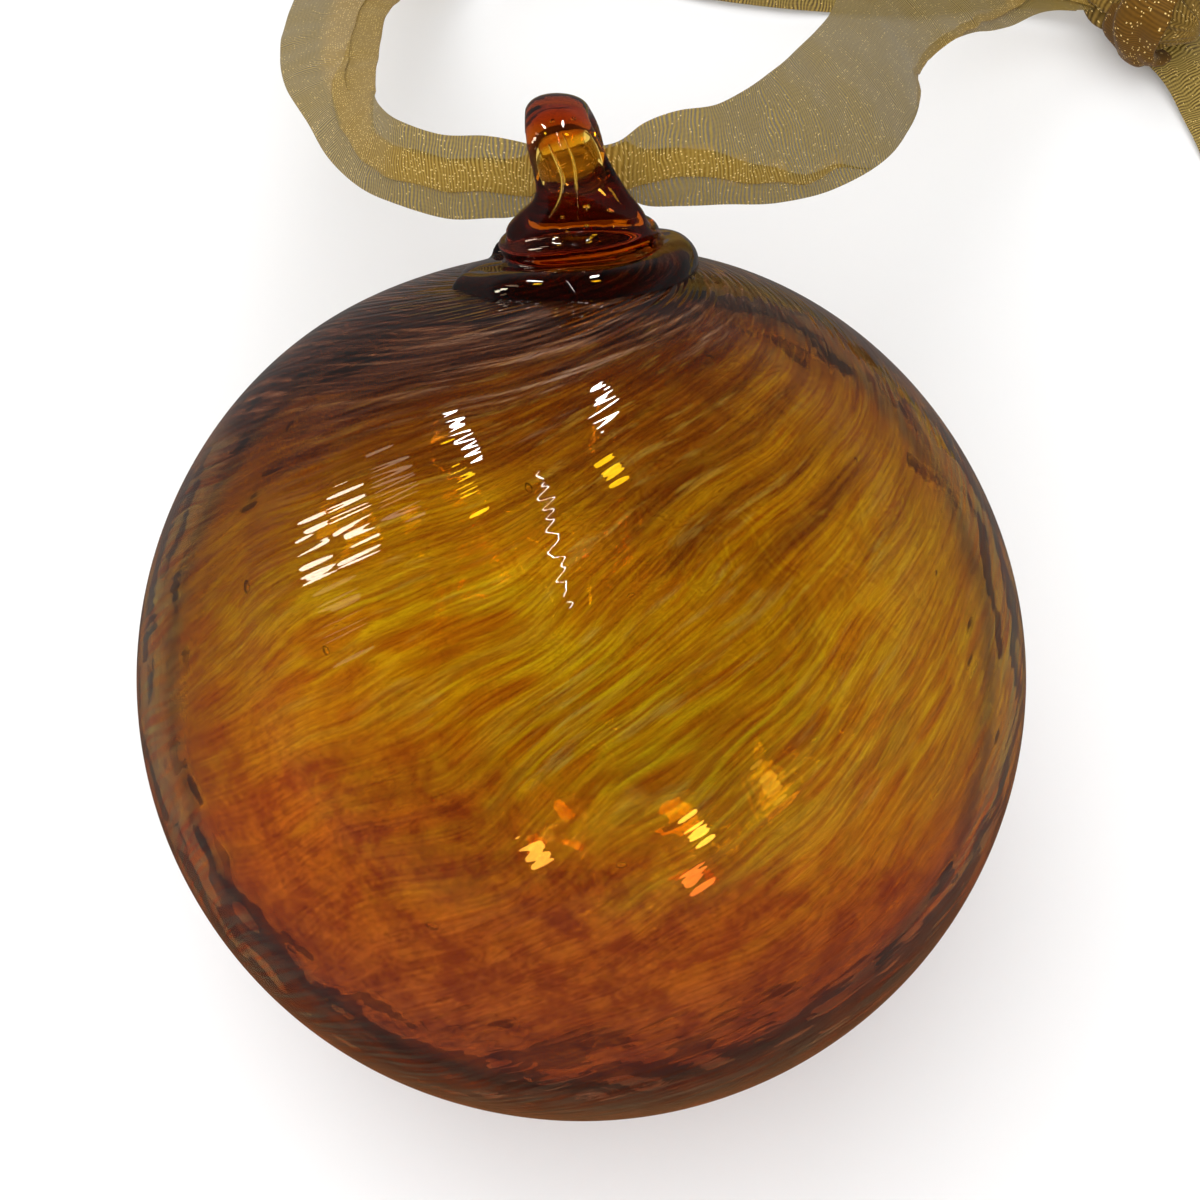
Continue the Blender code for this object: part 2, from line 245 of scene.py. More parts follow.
def untwist(slope, stray):
    """Return the place on the skin before a twist of slope times the rise, and a stray."""
    turn = add_node(
        tree, "ShaderNodeMath", {0: rise, 1: slope, 2: stray}, operation="MULTIPLY_ADD"
    )
    back = add_node(
        tree,
        "ShaderNodeVectorRotate",
        {"Vector": level, "Angle": turn},
        rotation_type="Z_AXIS",
    )
    return add_node(tree, "ShaderNodeVectorMath", {0: back, 1: lift}, operation="ADD")


TWIST = -0.8  # the slope of the streaks
WINDING = -1.25  # the flatter slope of the threads wound on round the neck
drawn = untwist(TWIST, drift)
wound = untwist(WINDING, drift)
even = untwist(TWIST, 0.0)

# Grains that the twist drew out: how many go into the ball's 50 mm radius, across and
# along, and how much finer grain is in them.
grains = []
for before, around, along, detail, roughness in (
    (drawn, 38.0, 3.4, 3.0, 0.66),  # streaks, 1.3 mm by 15 mm
    (drawn, 64.0, 5.5, 2.0, 0.6),  # finer fibres, 0.8 mm by 9 mm
    (drawn, 7.0, 1.4, 2.0, 0.6),  # brush strokes that fray the colours, 7 mm by 36 mm
    (drawn, 15.0, 4.5, 2.0, 0.6),  # pale wisps, 3 mm by 11 mm
    (wound, 13.0, 1.8, 2.5, 0.7),  # strands round the neck, 4 mm by 28 mm
    (even, 21.0, 2.2, 0.0, 0.5),  # ridges in the skin, 2.4 mm by 23 mm
):
    stretched = add_node(
        tree, "ShaderNodeVectorMath", {0: before, 1: (around, around, along)},
        operation="MULTIPLY",
    )
    grains.append(add_node(
        tree,
        "ShaderNodeTexNoise",
        {"Vector": stretched, "Scale": 1.0, "Detail": detail, "Roughness": roughness},
    ))
streak, fibre, brush, wisp, strand, ridge = grains

# Spots on the skin: where, how far each reaches, where it is full, and how much it adds.
spots = []
for centre, reach, core, most in (
    ((-0.42, -0.85, 0.12), 0.7, 0.15, 0.105),  # the base's orange runs up in a tongue
    ((0.5, -0.32, 0.8), 0.5, 0.1, 0.1),  # the gold runs up to the neck on the other side
    ((0.403, -0.911, 0.088), 0.3, 0.08, 1.0),  # a painted yellow glow, standing in for lamplight reflected off the far inner wall
    ((-0.489, -0.694, 0.527), 0.5, 0.15, 1.4),  # a tool chilled the skin into lumps
):
    away = add_node(tree, "ShaderNodeVectorMath", {0: aim, 1: centre}, operation="DISTANCE")
    spots.append(add_node(
        tree,
        "ShaderNodeMapRange",
        {"Value": away.outputs["Value"], "From Min": reach, "From Max": core, "To Max": most},
        interpolation_type="SMOOTHSTEP",
    ))
tongue, gold, painted_glow_spot, chill = spots

# Colour by height along the axis, from the base to the neck.
zone = add_node(
    tree, "ShaderNodeMapRange", {"Value": height, "From Min": -1.0, "From Max": 1.0}
)
for wave, swing in ((wander, 0.2), (brush, 0.3)):
    zone = add_node(tree, "ShaderNodeMath", {0: wave, 1: swing, 2: zone}, operation="MULTIPLY_ADD")
for lowering in (0.15, tongue, gold):
    zone = add_node(tree, "ShaderNodeMath", {0: zone, 1: lowering}, operation="SUBTRACT")
deep = add_node(tree, "ShaderNodeValToRGB", {0: zone})
set_ramp(deep, {
    0.0: "#985030", 0.15: "#8c3a14", 0.38: "#b04c04", 0.48: "#da8606",
    0.64: "#d89804", 0.76: "#ba7404", 0.84: "#703406", 0.92: "#542208",
})
bright = add_node(tree, "ShaderNodeValToRGB", {0: zone})
set_ramp(bright, {
    0.0: "#c47450", 0.15: "#c86426", 0.36: "#e4800c", 0.48: "#f0b808",
    0.64: "#ecd410", 0.76: "#dcac08", 0.84: "#9c5c0a", 0.92: "#7a3e0c",
})

# Lens-shaped chips, drawn out to about 4 mm by 12 mm, soft at their edges.
chips = add_node(
    tree, "ShaderNodeVectorMath", {0: drawn, 1: (11.5, 11.5, 4.2)}, operation="MULTIPLY"
)
chip = add_node(tree, "ShaderNodeTexVoronoi", {"Vector": chips, "Scale": 1.0}, feature="F1")
chip_edge = add_node(
    tree, "ShaderNodeMath", {0: streak, 1: 0.4, 2: chip.outputs["Distance"]},
    operation="MULTIPLY_ADD",
)
# the dark colour round the neck reaches farther down on one side
neck_side = add_node(
    tree, "ShaderNodeVectorMath", {0: aim, 1: (-0.27, 0.05, 0.96)}, operation="DOT_PRODUCT"
)
neck_edge = neck_side.outputs["Value"]
for wave, swing in ((brush, 0.34), (streak, 0.16)):
    neck_edge = add_node(
        tree, "ShaderNodeMath", {0: wave, 1: swing, 2: neck_edge}, operation="MULTIPLY_ADD"
    )
# and one side of the bubble is darker: painted shade, as light through the glass brightens the
# other side
painted_shade_side = add_node(
    tree, "ShaderNodeVectorMath", {0: aim, 1: (-0.87, 0.0, 0.5)}, operation="DOT_PRODUCT"
)

# Where each finish shows: what decides it, where it starts, where it is full, and how
# much of it there is then.
masks = []
for decider, start, full, most in (
    (chip_edge, 0.5, 0.72, 1.0),  # bright glass round the chips
    (streak, 0.4, 0.6, 1.0),  # mere lines, to which chips near the neck were drawn out
    (zone, 0.6, 0.74, 0.85),  # the upper part, where those show
    (zone, 0.55, 0.42, 1.0),  # the base, where chips melted into round blotches
    (chip.outputs["Distance"], 0.56, 0.74, 1.0),  # hair-thin pale lines between chips
    (wisp, 0.56, 0.72, 0.5),  # greenish wisps, where the wall has hardly any colour
    (neck_edge, 0.98, 1.09, 1.0),  # the dark colour round the neck
    (height, 0.972, 0.985, 1.0),  # clear amber under the hanger
    (painted_shade_side.outputs["Value"], 0.85, 0.4, 1.0),  # away from the side with painted shade
):
    masks.append(add_node(
        tree,
        "ShaderNodeMapRange",
        {"Value": decider, "From Min": start, "From Max": full, "To Max": most},
        interpolation_type="SMOOTHSTEP",
    ))
clearness, lines, top_share, base_share, hair, wisp, smoky, crown, off_painted_shade = masks
# the melted blotches at the base, about 5 mm wide
blotch = add_node(
    tree, "ShaderNodeTexNoise", {"Vector": aim, "Scale": 10.0, "Detail": 5.0, "Roughness": 0.74}
)
blotch = add_node(
    tree, "ShaderNodeMapRange", {"Value": blotch, "From Min": 0.41, "From Max": 0.6}
)
for amount, pattern in ((top_share, lines), (base_share, blotch)):
    clearness = add_node(
        tree, "ShaderNodeMix", {0: amount, 2: clearness, 3: pattern}, data_type="FLOAT"
    )
off_base = add_node(tree, "ShaderNodeMath", {0: 1.0, 1: base_share}, operation="SUBTRACT")
off_top = add_node(tree, "ShaderNodeMath", {0: 1.0, 1: top_share}, operation="SUBTRACT")
for part in (brush, off_base, off_top):
    hair = add_node(tree, "ShaderNodeMath", {0: hair, 1: part}, operation="MULTIPLY")
wisp = add_node(tree, "ShaderNodeMath", {0: wisp, 1: off_base}, operation="MULTIPLY")
# the painted yellow glow lies on the streak lines
painted_glow_spot = add_node(tree, "ShaderNodeMath", {0: painted_glow_spot, 1: lines}, operation="MULTIPLY")
# the threads wound on round the neck are dark brown to grey; their palest silvery streaks are a
# painted reflection of a pale light on the fine ridges
neck_threads_with_painted_sheen = add_node(tree, "ShaderNodeValToRGB", {0: strand})
set_ramp(neck_threads_with_painted_sheen, {
    0.38: "#300e06", 0.46: "#62402e", 0.54: "#926a54", 0.6: "#ccb8ac", 0.66: "#f4e8e0",
})
# streaks and fibres darken all of it, less so at the base
thread = add_node(
    tree, "ShaderNodeMapRange", {"Value": streak, "From Min": 0.3, "From Max": 0.7}
)
thread_share = add_node(
    tree, "ShaderNodeMapRange", {"Value": base_share, "To Min": 0.8, "To Max": 0.45}
)
fine = add_node(
    tree, "ShaderNodeMapRange", {"Value": fibre, "From Min": 0.38, "From Max": 0.62}
)
fine_share = add_node(
    tree, "ShaderNodeMapRange", {"Value": base_share, "To Min": 1.0, "To Max": 0.7}
)
tints = []
for amount, first, second in (
    (thread, "#ffffff", "#d0b080"),
    (fine, "#d0a888", "#ffffff"),
    # the third is painted shade, darker on the side away from the glow of light through the glass
    (off_painted_shade, "#d0b8a0", "#ffffff"),
):
    tint = add_node(
        tree, "ShaderNodeMix", {0: amount, 6: srgb(first), 7: srgb(second)}, data_type="RGBA"
    )
    tints.append(tint.outputs[2])
# painted shade at the rim: darker seen at a slant, standing in for light crossing more of the
# coloured layer and for the crowding streaks, with a wavering painted dark line where the inner
# face of the wall would show
slant = add_node(tree, "ShaderNodeLayerWeight", {"Blend": 0.5}).outputs["Facing"]
waver = add_node(tree, "ShaderNodeMath", {0: brush, 1: 0.12, 2: slant}, operation="MULTIPLY_ADD")
painted_rim_shade = add_node(tree, "ShaderNodeValToRGB", {0: waver})
set_ramp(painted_rim_shade, {
    0.31: "#ffffff", 0.62: "#c4a894", 0.665: "#866a5a", 0.69: "#765e52",
    0.73: "#c09c8c", 0.84: "#c09484", 0.96: "#f0c090",
})
# painted reflection: greyish lines on the streaks near the rim, but not round the neck
painted_rim_sheen = add_node(tree, "ShaderNodeValToRGB", {0: slant})
set_ramp(painted_rim_sheen, {
    0.55: (0.0, 0.0, 0.0), 0.78: (1.0, 1.0, 1.0), 0.88: (0.7, 0.7, 0.7), 0.96: (0.0, 0.0, 0.0),
})
not_smoky = add_node(tree, "ShaderNodeMath", {0: 1.0, 1: smoky}, operation="SUBTRACT")
for part in (lines, not_smoky):
    painted_rim_sheen = add_node(tree, "ShaderNodeMath", {0: painted_rim_sheen, 1: part}, operation="MULTIPLY")

# All of it laid over the deep colours in turn: how much, what colour and in what way.
colour = deep
for amount, laid, way in (
    (clearness, bright, "MIX"),
    (hair, srgb("#ecc930"), "MIX"),
    (wisp, srgb("#d4c460"), "MIX"),
    # the painted yellow glow
    (painted_glow_spot, srgb("#ffd014"), "MIX"),
    (smoky, neck_threads_with_painted_sheen, "MIX"),
    (crown, srgb("#8a4a24"), "MIX"),
    (thread_share, tints[0], "MULTIPLY"),
    (fine_share, tints[1], "MULTIPLY"),
    # the painted shade on one side of the bubble
    (1.0, tints[2], "MULTIPLY"),
    (1.0, painted_rim_shade, "MULTIPLY"),
    (painted_rim_sheen, srgb("#746852"), "MIX"),
):
    colour = add_node(
        tree,
        "ShaderNodeMix",
        {0: amount, 6: colour, 7: laid},
        data_type="RGBA",
        blend_type=way,
    ).outputs[2]
tree.links.new(colour, glass.inputs["Base Color"])

# The skin's ridges stand higher where the tool chilled it, and by the neck.
by_neck = add_node(
    tree,
    "ShaderNodeMapRange",
    {"Value": height, "From Min": 0.86, "From Max": 0.94, "To Min": 1.0, "To Max": 2.6},
)
lumpier = add_node(tree, "ShaderNodeMath", {0: chill, 1: by_neck}, operation="ADD")
ridge = add_node(tree, "ShaderNodeMath", {0: ridge, 1: lumpier}, operation="MULTIPLY")
ripple = add_node(
    tree, "ShaderNodeBump", {"Height": ridge, "Strength": 0.6, "Distance": 0.13 * MM}
)
tree.links.new(ripple.outputs[0], glass.inputs["Normal"])

# The first gather inside the colour is plain soda-lime glass, quite clear and smooth,
# so the inner face and the seeds show as bright edges alone.
CLEAR_GLASS = {
    "Base Color": srgb("#ffffff"), "Roughness": 0.0, "IOR": GLASS_IOR, "Transmission Weight": 1.0
}
dress(ball, "clear_glass_inner_gather", CLEAR_GLASS)
seed_faces = SEEDS * SEED_SEGMENTS * SEED_RINGS
outer_count = (len(ball.data.polygons) - seed_faces) // 2
for face in ball.data.polygons[outer_count:]:
    face.material_index = 1
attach(ball, "root")
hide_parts("blown_ball")

# --- The hanger ---------------------------------------------------------------------
# A gather of clear dark amber glass let down hot on the neck: a first turn wound round
# it, a bell-shaped foot, and a strap pulled up and bent over into a loop. It melts
# into the ball's wall, and where it is thick the same glass goes from gold to red-brown.

# The strap of the loop: y, z and x of its middle line, its width and its thickness. As
# with the sizes below it, they are in millimetres from the ball's middle, z along its axis.
STRAP = (
    (-2.6, 51.0, -0.2, 16.6, 7.0),
    (-4.8, 53.4, 0.0, 14.0, 5.6),
    (-6.3, 55.9, -0.2, 10.4, 4.6),
    (-6.9, 58.4, -0.8, 8.6, 4.2),
    (-6.3, 61.1, -1.7, 8.0, 4.0),
    (-4.0, 63.2, -2.4, 7.4, 3.8),
    (-0.3, 64.1, -2.5, 7.0, 3.8),
    (3.5, 63.2, -2.2, 6.8, 3.8),
    (6.5, 61.1, -1.3, 6.8, 3.8),
    (7.4, 58.0, -0.5, 6.9, 3.6),
    (6.6, 55.2, 0.0, 7.8, 4.2),
    (4.6, 52.4, 0.0, 9.5, 6.0),
    (2.6, 50.4, 0.0, 11.0, 7.0),
)
STRAP_SIDES = 32
BELL_RADIUS = 9.0
BELL_CROWN = 3.0
BELL_FOOT = 3.2
BELL_RIM_ROUND = 1.2
BELL_MIDDLE = (-0.3, 0.0, 50.3)
BELL_LEAN = radians(-6)
BELL_STEPS = 64
COIL_RADIUS = 9.7
COIL_SPREAD = 3.8  # how much wider the first half of the turn lies
COIL_HEIGHT = 46.5
COIL_START = radians(-156)
COIL_TURN = radians(306)
COIL_THICKNESS = 2.7
COIL_FRONT_SWELL = 0.7
COIL_TAIL_LOSS = 1.1
COIL_POINTS = 60
PAD_MIDDLE = (-0.2, -1.0, 46.2)
PAD_SHAPE = (13.2, 13.2, 2.2, 1.0)
MELT_VOXEL = 0.33 * MM
UNEVEN = 0.22 * MM  # drawn and cooled by hand, the glass is never quite even
FUSED_DEPTH = 1.0 * MM  # how deep the foot has sunk into the ball's wall


def smooth_stations(stations, steps):
    """Return rows of numbers read from a smooth curve through the given rows."""
    last = len(stations) - 1
    rows = []
    for index in range(last):
        before, start = stations[max(index - 1, 0)], stations[index]
        end, after = stations[index + 1], stations[min(index + 2, last)]
        for step in range(steps):
            t = step / steps
            rows.append(
                tuple(
                    0.5 * (2 * b + (c - a) * t + (2 * a - 5 * b + 4 * c - d) * t**2
                           + (3 * b - a - 3 * c + d) * t**3)
                    for a, b, c, d in zip(before, start, end, after)
                )
            )
    rows.append(tuple(stations[last]))
    return rows


def new_piece(name, data):
    """Return a new object with some data, linked to the scene."""
    made = bpy.data.objects.new(name, data)
    bpy.context.scene.collection.objects.link(made)
    return made


def skin_rings(name, rings):
    """Return a new object skinned over closed rings of points, with both ends closed."""
    shape = bmesh.new()
    laid = [[shape.verts.new(point) for point in ring] for ring in rings]
    count = len(laid[0])
    for ring, following in zip(laid, laid[1:]):
        for k in range(count):
            after = (k + 1) % count
            shape.faces.new((ring[k], ring[after], following[after], following[k]))
    shape.faces.new(laid[0])
    shape.faces.new(reversed(laid[-1]))
    bmesh.ops.recalc_face_normals(shape, faces=shape.faces)
    mesh = bpy.data.meshes.new(name)
    shape.to_mesh(mesh)
    shape.free()
    return new_piece(name, mesh)


def apply_modifier(piece, kind, **settings):
    """Add a modifier with its settings to a piece and apply it."""
    select_only(piece)
    modifier = piece.modifiers.new(kind.lower(), kind)
    for setting, value in settings.items():
        setattr(modifier, setting, value)
    bpy.ops.object.modifier_apply(modifier=modifier.name)


# the strap, an oval section that follows its looped middle line
rows = smooth_stations(STRAP, 6)
middles = [Vector((x, y, z)) for y, z, x, _, _ in rows]
rings = []
for index, (_, _, _, width, thickness) in enumerate(rows):
    ahead = middles[min(index + 1, len(rows) - 1)] - middles[max(index - 1, 0)]
    outward = ahead.cross(Vector((1.0, 0.0, 0.0))).normalized()
    across = outward.cross(ahead).normalized()
    turns = [2 * pi * k / STRAP_SIDES for k in range(STRAP_SIDES)]
    rings.append([
        middles[index] + across * (cos(turn) * width / 2) + outward * (sin(turn) * thickness / 2)
        for turn in turns
    ])
hanger = skin_rings("glass_hanger", rings)

# the bell-shaped foot, a profile turned round the axis
turns = [radians(6 * k) for k in range(16)]
profile = [(BELL_RADIUS * sin(turn), BELL_CROWN * cos(turn)) for turn in turns]
for turn in (radians(45), radians(90)):
    profile.append(
        (BELL_RADIUS - BELL_RIM_ROUND * (1 - cos(turn)), -BELL_RIM_ROUND * sin(turn))
    )
profile.append((0.0, -BELL_FOOT))
outline = bpy.data.meshes.new("bell_profile")
outline.from_pydata(
    [(radius, 0.0, height) for radius, height in profile],
    [(k, k + 1) for k in range(len(profile) - 1)],
    [],
)
bell = new_piece("bell_foot", outline)
apply_modifier(
    bell, "SCREW", angle=2 * pi, steps=BELL_STEPS, render_steps=BELL_STEPS,
    use_merge_vertices=True, merge_threshold=0.001,
)
bell.data.transform(Matrix.Translation(BELL_MIDDLE) @ Matrix.Rotation(BELL_LEAN, 4, "Y"))

# the first turn of the gather, a tube wound round the neck: its first half lies wider
# and fuller, and it has a thin tail
neck_turn = bpy.data.curves.new("neck_turn", "CURVE")
neck_turn.dimensions = "3D"
neck_turn.bevel_depth = COIL_THICKNESS
neck_turn.bevel_resolution = 6
neck_turn.use_fill_caps = True
line = neck_turn.splines.new("POLY")
line.points.add(COIL_POINTS - 1)
for index, point in enumerate(line.points):
    along = index / (COIL_POINTS - 1)
    angle = COIL_START + COIL_TURN * along
    first_half = 1 / (1 + exp((along - 0.36) * 18))
    tail = exp(-((along / 0.1) ** 2))
    radius = COIL_RADIUS + COIL_SPREAD * first_half
    thickness = COIL_THICKNESS - 0.8 * along**2 + COIL_FRONT_SWELL * first_half
    thickness -= COIL_TAIL_LOSS * tail
    direction = Vector((radius * cos(angle), radius * sin(angle), COIL_HEIGHT)).normalized()
    middle = direction * (ball_radius(direction) / MM + 0.3 - 1.4 * first_half)
    point.co = (*middle, 1.0)
    point.radius = thickness / COIL_THICKNESS
coil = new_piece("neck_turn", neck_turn)
select_only(coil)
bpy.ops.object.convert(target="MESH")
coil = bpy.context.active_object

# the flat pad of glass that first touched the neck
bpy.ops.object.select_all(action="DESELECT")
bpy.ops.mesh.primitive_uv_sphere_add(segments=64, ring_count=24, radius=1.0)
pad = bpy.context.active_object
pad.data.transform(Matrix.Translation(PAD_MIDDLE) @ Matrix.Diagonal(PAD_SHAPE))

select_only(hanger)
for softened in (bell, coil, pad):
    softened.select_set(True)
bpy.ops.object.join()
hanger.data.transform(Matrix.Scale(MM, 4))
apply_modifier(hanger, "REMESH", mode="VOXEL", voxel_size=MELT_VOXEL)
apply_modifier(hanger, "SMOOTH", factor=0.5, iterations=24)
for vertex in hanger.data.vertices:
    vertex.co += UNEVEN * noise.noise_vector(vertex.co / MM * 0.16)
    direction = vertex.co.normalized()
    sunk = ball_radius(direction) - FUSED_DEPTH
    if vertex.co.length < sunk:
        vertex.co = direction * sunk
    vertex.co = BALL_FRAME @ vertex.co


def air_line(points, width):
    """Return a drawn-out bubble along points of the hanger, in mm."""
    thread = bpy.data.curves.new("air_line", "CURVE")
    thread.dimensions = "3D"
    thread.bevel_depth = width / 2
    thread.bevel_resolution = 2
    thread.use_fill_caps = True
    rows = smooth_stations(points, 8)
    line = thread.splines.new("POLY")
    line.points.add(len(rows) - 1)
    for index, point in enumerate(line.points):
        point.co = (*rows[index], 1.0)
        point.radius = sqrt(sin(pi * (index + 0.5) / len(rows)))
    select_only(new_piece("air_line", thread))
    bpy.ops.object.convert(target="MESH")
    made = bpy.context.active_object
    bpy.ops.object.mode_set(mode="EDIT")
    bpy.ops.mesh.select_all(action="SELECT")
    bpy.ops.mesh.remove_doubles(threshold=0.001)
    bpy.ops.mesh.normals_make_consistent(inside=True)
    bpy.ops.object.mode_set(mode="OBJECT")
    made.data.transform(BALL_FRAME @ Matrix.Scale(MM, 4))
    return made


# Air caught in the glass and drawn out with it, two long threads in the strap and some
# short bubbles: the width, and points from end to end.
AIR_LINES = (
    (0.5, (-3.2, -6.6, 61.2), (-1.9, -7.9, 58.5), (-1.8, -7.9, 56.8), (-2.3, -7.4, 55.2),
     (-3.3, -6.8, 53.6)),
    (0.3, (-1.9, -5.6, 62.0), (-0.8, -7.4, 59.8), (-0.4, -7.9, 57.1), (-0.2, -7.0, 53.3)),
    (0.8, (0.6, -6.9, 55.2), (0.7, -6.8, 54.4)),
    (0.6, (0.6, -6.8, 53.0), (0.7, -6.8, 52.5)),
    (0.5, (-1.9, -6.7, 54.0), (-1.8, -6.7, 53.5)),
    (0.5, (-1.4, -6.8, 52.2), (-1.2, -6.8, 51.5)),
    (0.5, (-3.0, -4.2, 63.0), (-2.7, -4.4, 62.8)),
    (0.5, (-1.1, -4.0, 63.2), (-0.8, -4.2, 63.0)),
)
bubbles = [air_line(points, width) for width, *points in AIR_LINES]
select_only(hanger)
for bubble in bubbles:
    bubble.select_set(True)
bpy.ops.object.join()
hanger.data.shade_smooth()

# Transparent amber glass, fire-polished: quite clear and glossy. It swallows blue within
# a millimetre or two, then green, and red the least, so thin parts look gold and thick
# ones red-brown.
tree, glass = dress(hanger, "clear_dark_amber_glass", CLEAR_GLASS)
depth = add_node(tree, "ShaderNodeVolumeAbsorption")
depth.inputs["Color"].default_value = srgb("#f4e044")
depth.inputs["Density"].default_value = 745.0
tree.links.new(depth.outputs[0], tree.nodes["Material Output"].inputs["Volume"])
place = add_node(tree, "ShaderNodeTexCoord").outputs["Object"]
# where the strap was bent over it was reheated, and struck to a darker red, and the foot
# took up a little of the brown skin under it
turned = add_node(tree, "ShaderNodeMapping", {0: place, **IN_BALL_FRAME}, vector_type="TEXTURE")
tip = add_node(tree, "ShaderNodeSeparateXYZ", {0: turned}).outputs[2]
tint = srgb("#ffffff")
for clean, full, stain in ((62.0, 64.0, "#b4644c"), (51.0, 48.5, "#a85c44")):
    reached = add_node(
        tree,
        "ShaderNodeMapRange",
        {"Value": tip, "From Min": clean * MM, "From Max": full * MM},
        interpolation_type="SMOOTHSTEP",
    )
    tint = add_node(
        tree, "ShaderNodeMix", {0: reached, 6: tint, 7: srgb(stain)}, data_type="RGBA"
    ).outputs[2]
tree.links.new(tint, glass.inputs["Base Color"])
# cords, faint streaks of denser glass about 4 mm apart, make the surface slightly wavy
cords = add_node(
    tree,
    "ShaderNodeTexNoise",
    {"Vector": place, "Scale": 260.0, "Detail": 2.0, "Roughness": 0.5, "Distortion": 0.6},
)
wavy = add_node(
    tree, "ShaderNodeBump", {"Height": cords, "Strength": 0.3, "Distance": 0.1 * MM}
)
tree.links.new(wavy.outputs[0], glass.inputs["Normal"])
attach(hanger, "root")
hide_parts("applied_hanger")

# --- The ribbon ---------------------------------------------------------------------
# Sheer organza, 16 mm wide, woven from gold-brown nylon with metallic gold threads.
# It runs pleated through the hanger's loop, lies down to the table on both sides and
# is tied in an overhand knot with two cut tails.

RIBBON_WIDTH = 16.8  # in millimetres, laid flat, with a little slack for the folds
LAYER_GAP = 0.2
# Both edges of the folded ribbon, from the knot round to the knot again.
LOOP_EDGES = (
    # out of the knot and along the table
    ((73.5, 132.0, 2.5), (76.0, 136.0, 7.0)),
    ((62.0, 133.5, 1.2), (64.0, 140.5, 9.5)),
    ((51.0, 132.5, 0.8), (52.5, 142.5, 11.5)),
    ((37.0, 133.0, 0.8), (38.0, 144.0, 12.0)),
    ((19.0, 135.5, 0.8), (20.0, 147.0, 12.0)),
    # round the far end
    ((0.0, 140.0, 0.8), (-3.5, 151.5, 12.0)),
    ((-16.0, 139.0, 3.2), (-23.5, 146.0, 14.5)),
    ((-22.8, 129.3, 11.6), (-34.0, 134.0, 20.4)),
    # up and round to the hanger
    ((-25.7, 117.0, 24.4), (-38.9, 121.8, 24.6)),
    ((-27.0, 107.0, 33.5), (-40.2, 106.5, 34.5)),
    ((-26.7, 94.8, 43.8), (-39.7, 92.8, 44.0)),
    ((-26.1, 84.7, 53.0), (-37.8, 81.7, 51.5)),
    ((-25.4, 74.2, 62.7), (-34.2, 72.0, 57.3)),
    ((-24.5, 66.5, 69.9), (-30.5, 62.1, 63.1)),
    ((-22.9, 60.4, 75.4), (-26.1, 54.1, 68.6)),
    ((-20.6, 55.4, 79.9), (-21.7, 48.7, 73.2)),
    ((-15.5, 51.0, 83.3), (-15.6, 44.4, 76.4)),
    ((-10.5, 48.6, 86.4), (-10.7, 42.6, 79.0)),
    ((-6.8, 47.0, 87.6), (-6.9, 41.8, 80.9)),
    # through the loop
    ((-3.8, 45.6, 88.3), (-3.9, 42.5, 84.9)),
    ((0.0, 45.5, 88.5), (0.0, 42.4, 85.2)),
    ((3.8, 46.2, 88.5), (3.9, 42.5, 84.9)),
    # out to the right and down into the knot
    ((6.8, 48.6, 88.7), (7.0, 42.4, 81.9)),
    ((10.5, 50.7, 88.1), (11.2, 43.3, 80.4)),
    ((15.0, 53.4, 85.6), (16.4, 45.2, 78.0)),
    ((19.0, 58.4, 82.2), (22.5, 48.0, 74.3)),
    ((23.0, 65.0, 77.6), (29.5, 53.6, 69.0)),
    ((26.5, 73.0, 71.5), (36.6, 61.7, 64.0)),
    ((30.0, 83.0, 63.2), (41.4, 74.2, 56.0)),
    ((33.4, 95.0, 54.0), (43.9, 88.8, 45.6)),
    ((39.4, 108.4, 42.0), (50.6, 101.0, 36.4)),
    ((48.6, 119.8, 31.0), (59.0, 111.5, 25.0)),
    ((59.0, 128.6, 20.5), (66.6, 121.4, 16.0)),
    ((71.5, 132.0, 11.6), (75.0, 127.4, 8.6)),
)
# Where the pleat lies across the band (0 at its second edge, 1 at its first), how far
# it is a pleat and not a flap folded back, and how far the band is crowned, by station.
PLEAT_STATIONS = (0, 5, 7, 10, 12, 14, 17, 19, 21, 23, 25, 27, 30, 33)
PLEAT_PLACE = (0.5, 0.5, 0.8, 0.9, 0.75, 0.5, 0.55, 0.5, 0.5, 0.45, 0.2, 0.0, 0.0, 0.4)
PLEAT_SHARE = (1, 1, 0, 0, 0.2, 1, 1, 1, 1, 1, 1, 1, 1, 1)
CROWN = (0.0, 0.8, 0.8, 0.9, 0.3, 0.1, 0.0, 0.0, 0.0, 0.1, 0.5, 1.6, 1.2, 0.0)
FRONT_TAIL_EDGES = (
    ((79.0, 125.0, 5.0), (84.0, 128.0, 5.0)),
    ((85.2, 119.5, 2.2), (94.0, 124.0, 4.6)),
    ((88.6, 112.0, 0.8), (102.5, 116.5, 3.4)),
    ((92.0, 101.5, 0.8), (107.4, 104.0, 2.2)),
    ((97.5, 90.0, 0.8), (111.0, 96.5, 1.0)),
)
SIDE_TAIL_EDGES = (
    ((83.0, 126.5, 9.5), (82.0, 131.5, 9.0)),
    ((92.0, 126.5, 9.0), (92.0, 139.5, 9.5)),
    ((103.0, 125.5, 5.2), (103.5, 141.0, 6.8)),
    ((116.0, 127.5, 1.0), (112.0, 142.5, 2.6)),
)


